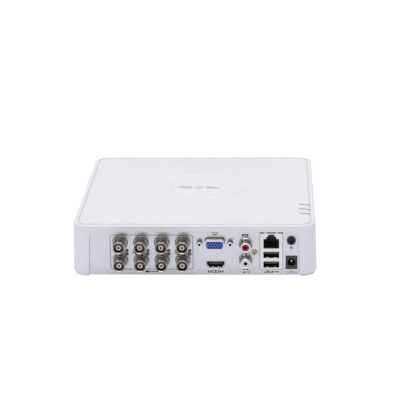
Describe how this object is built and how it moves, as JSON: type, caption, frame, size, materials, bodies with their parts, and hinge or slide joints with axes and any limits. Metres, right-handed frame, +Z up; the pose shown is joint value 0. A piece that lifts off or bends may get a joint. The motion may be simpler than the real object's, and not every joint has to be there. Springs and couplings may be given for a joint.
{
  "type": "video recorder",
  "caption": "Compact white plastic security video recorder with a metal connector panel, camera, audio, screen, network, USB and power sockets, and a lift-off cover over board and drive.",
  "frame": {"origin": "centre of the tray's flat underside; the rubber feet reach 1.2 mm below it", "axes": "+Z up; the connector panel faces -Y; +X to the right when facing the panel"},
  "size_m": [0.2, 0.2129, 0.0464],
  "materials": {
    "case_white": "fine satin texture, white with a faint cool tint",
    "tray_white": "fine satin texture, a little greyer than the cover",
    "badge_white": "smooth, semi-gloss",
    "mark_grey": "silver-grey printed film",
    "smoke_clear": "smoked translucent plastic",
    "foot_rubber": "matt rubber",
    "zinc_sheet": "zinc-coated sheet with a soft spangle",
    "screw_zinc": "zinc plated",
    "screw_black": "black oxide",
    "nickel": "bright nickel plate, slightly dull",
    "cream_insulator": "unfilled plastic",
    "gold_contact": "thin gold plate",
    "housing_black": "glass-filled, fine grain",
    "rca_red": "moulded",
    "rca_white": "moulded",
    "vga_blue": "moulded",
    "bright_tin": "bright tin plate",
    "chrome": "bright chrome plate",
    "port_tin": "tin plate, warm and slightly dull",
    "jack_black": "moulded",
    "circuit_green": "solder mask",
    "chip_black": "moulded epoxy",
    "sink_aluminium": "dark anodised",
    "can_aluminium": "bare can with a dark sleeve",
    "ceramic_parts": "fired ceramic",
    "coil_ferrite": "pressed ferrite",
    "cell_steel": "stainless",
    "lamp_clear": "clear epoxy",
    "socket_black": "moulded",
    "socket_white": "moulded",
    "drive_cast": "sand-blasted casting",
    "drive_cover": "pressed stainless sheet"
  },
  "bodies": {
    "recorder": {"base_tray": "tray_white", "rubber_feet": "foot_rubber", "case_screws": "screw_zinc", "rear_panel": "zinc_sheet", "connector_screws": "screw_zinc", "ground_screw": "screw_black", "ground_nut": "screw_zinc", "bnc_shells": "nickel", "bnc_insulators": "cream_insulator", "bnc_contacts": "gold_contact", "bnc_housings": "housing_black", "rca_barrels": "chrome", "rca_red_insert": "rca_red", "rca_white_insert": "rca_white", "rca_contacts": "gold_contact", "rca_housing": "housing_black", "vga_shell": "bright_tin", "vga_insert": "vga_blue", "vga_contacts": "gold_contact", "vga_jack_screws": "chrome", "vga_bracket": "housing_black", "hdmi_shell": "port_tin", "hdmi_tongue": "housing_black", "hdmi_contacts": "gold_contact", "port_shell": "port_tin", "port_core": "housing_black", "lan_contacts": "gold_contact", "usb_contacts": "gold_contact", "dc_jack_body": "jack_black", "dc_jack_pin": "nickel", "dc_jack_spring": "nickel", "mainboard": "circuit_green", "board_screws": "screw_zinc", "processor": "chip_black", "heat_sink": "sink_aluminium", "memory_chips": "chip_black", "video_chips": "chip_black", "flash_chip": "chip_black", "network_transformer": "chip_black", "power_coils": "coil_ferrite", "capacitors": "can_aluminium", "crystal": "cell_steel", "coin_cell_holder": "socket_black", "coin_cell": "cell_steel", "status_leds": "lamp_clear", "buzzer": "socket_black", "chip_parts": "ceramic_parts", "drive_data_socket": "socket_black", "drive_power_socket": "socket_white", "drive_casting": "drive_cast", "drive_lid": "drive_cover", "drive_board": "circuit_green", "drive_connector": "socket_black", "drive_screws": "screw_zinc"},
    "cover": {"top_cover": "case_white", "badge_disc": "badge_white", "badge_mark": "mark_grey", "light_pipe": "smoke_clear"}
  },
  "joints": [
    {"name": "cover_lift", "type": "slide", "parent": "recorder", "child": "cover", "axis": [0, 0, 1], "range_m": [0, 0.06]}
  ]
}
